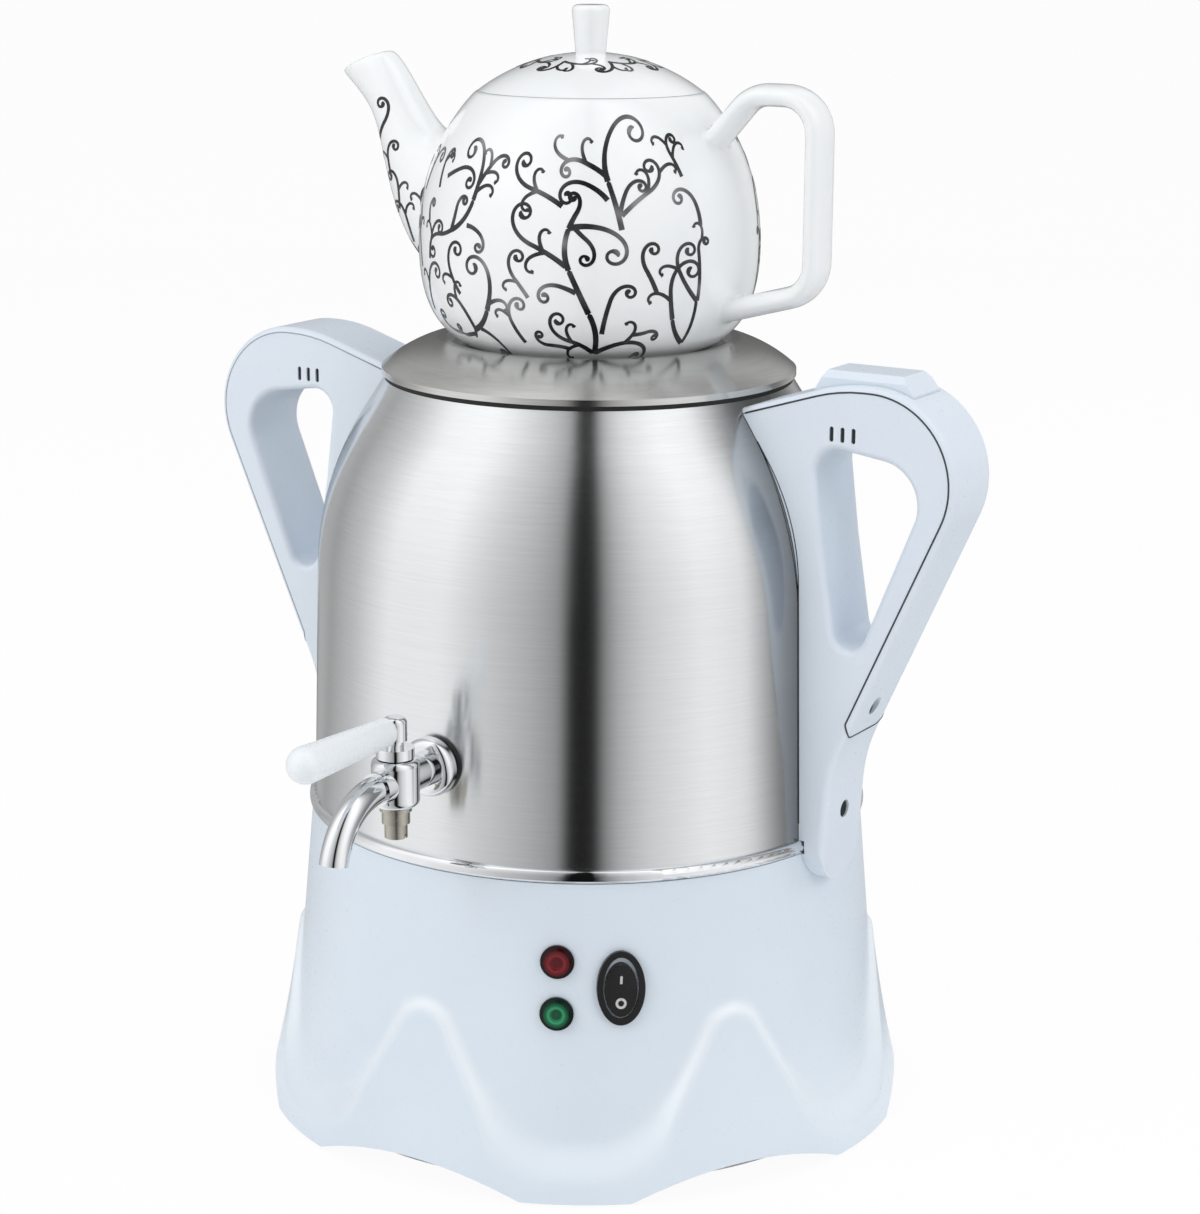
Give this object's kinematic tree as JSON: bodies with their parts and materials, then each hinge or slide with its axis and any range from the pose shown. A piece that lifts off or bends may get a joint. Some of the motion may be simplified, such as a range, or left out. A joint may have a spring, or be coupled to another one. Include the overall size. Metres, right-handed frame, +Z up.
{
  "type": "electric tea maker",
  "caption": "Electric tea maker: a brushed steel boiler with a lever tap and loop handles on a wavy white base, with a porcelain teapot kept warm on its lid.",
  "frame": {"origin": "on the counter, under the boiler's axis", "axes": "+Z up along the boiler's axis, tap towards -Y, handles along X with the thumb button on +X"},
  "size_m": [0.3128, 0.3015, 0.4075],
  "materials": {
    "white_plastic": "smooth, soft shine",
    "grey_plastic": "matt",
    "black_plastic": "smooth, low shine",
    "rubber": "matt",
    "red_lens": "clear tinted lens",
    "green_lens": "clear tinted lens",
    "brushed_steel": "brushed around the axis",
    "chrome": "polished",
    "brass": "plain, nickel plated",
    "aluminium": "as cast",
    "thermostat_ceramic": "matt",
    "zinc_steel": "zinc plated",
    "porcelain": "white glaze with a dark scroll pattern"
  },
  "bodies": {
    "boiler": {"base_shell": "white_plastic", "left_handle": "white_plastic", "right_handle": "white_plastic", "left_cover": "white_plastic", "right_cover": "white_plastic", "base_plate": "grey_plastic", "cord_gland": "black_plastic", "gland_nut": "black_plastic", "lamp_nuts": "black_plastic", "switch_frame": "black_plastic", "foot_ring": "rubber", "tap_washer": "rubber", "red_lamp": "red_lens", "green_lamp": "green_lens", "boiler_shell": "brushed_steel", "boiler_shoulder": "brushed_steel", "boiler_floor": "brushed_steel", "handle_pegs": "brushed_steel", "tie_studs": "brushed_steel", "trim_ring": "chrome", "tap_flange": "chrome", "tap_body": "chrome", "tap_spout": "chrome", "tap_back_nut": "brass", "switch_terminals": "brass", "heat_plate": "aluminium", "heating_element": "aluminium", "boil_thermostat": "thermostat_ceramic", "warm_thermostat": "thermostat_ceramic", "thermal_fuse": "thermostat_ceramic", "tie_nuts": "zinc_steel", "foot_nuts": "zinc_steel", "base_screws": "zinc_steel", "cover_screws": "zinc_steel", "foot_screws": "zinc_steel", "button_spring": "zinc_steel"},
    "tap_valve": {"tap_plug": "chrome", "plug_washer": "brass", "plug_nut": "brass", "lever_rod": "chrome", "lever_grip": "white_plastic"},
    "rocker": {"switch_rocker": "black_plastic"},
    "button": {"thumb_button": "white_plastic"},
    "boiler_lid": {"lid_cover": "brushed_steel", "lid_pan": "brushed_steel", "lid_seal": "rubber"},
    "teapot": {"teapot_body": "porcelain", "teapot_spout": "porcelain", "teapot_handle": "porcelain"},
    "pot_lid": {"teapot_lid": "porcelain"}
  },
  "joints": [
    {"name": "tap_turn", "type": "hinge", "parent": "boiler", "child": "tap_valve", "pos_m": [0, -0.12504, 0.151], "axis": [0, 0, 1], "range_deg": [-90, 90]},
    {"name": "switch_rock", "type": "hinge", "parent": "boiler", "child": "rocker", "pos_m": [0.06368, -0.08121, 0.07586], "axis": [-0.7869, -0.617, 0], "range_deg": [0, 16]},
    {"name": "button_press", "type": "slide", "parent": "boiler", "child": "button", "axis": [0, 0, -1], "range_m": [0, 0.0025], "stiffness_N_per_m": 400, "springref_m": -0.002, "deforming": ["button_spring"]},
    {"name": "boiler_lid_lift", "type": "slide", "parent": "boiler", "child": "boiler_lid", "axis": [0, 0, 1], "range_m": [0, 0.12]},
    {"name": "teapot_lift", "type": "slide", "parent": "boiler_lid", "child": "teapot", "axis": [0, 0, 1], "range_m": [0, 0.15]},
    {"name": "pot_lid_lift", "type": "slide", "parent": "teapot", "child": "pot_lid", "axis": [0, 0, 1], "range_m": [0, 0.08]}
  ]
}
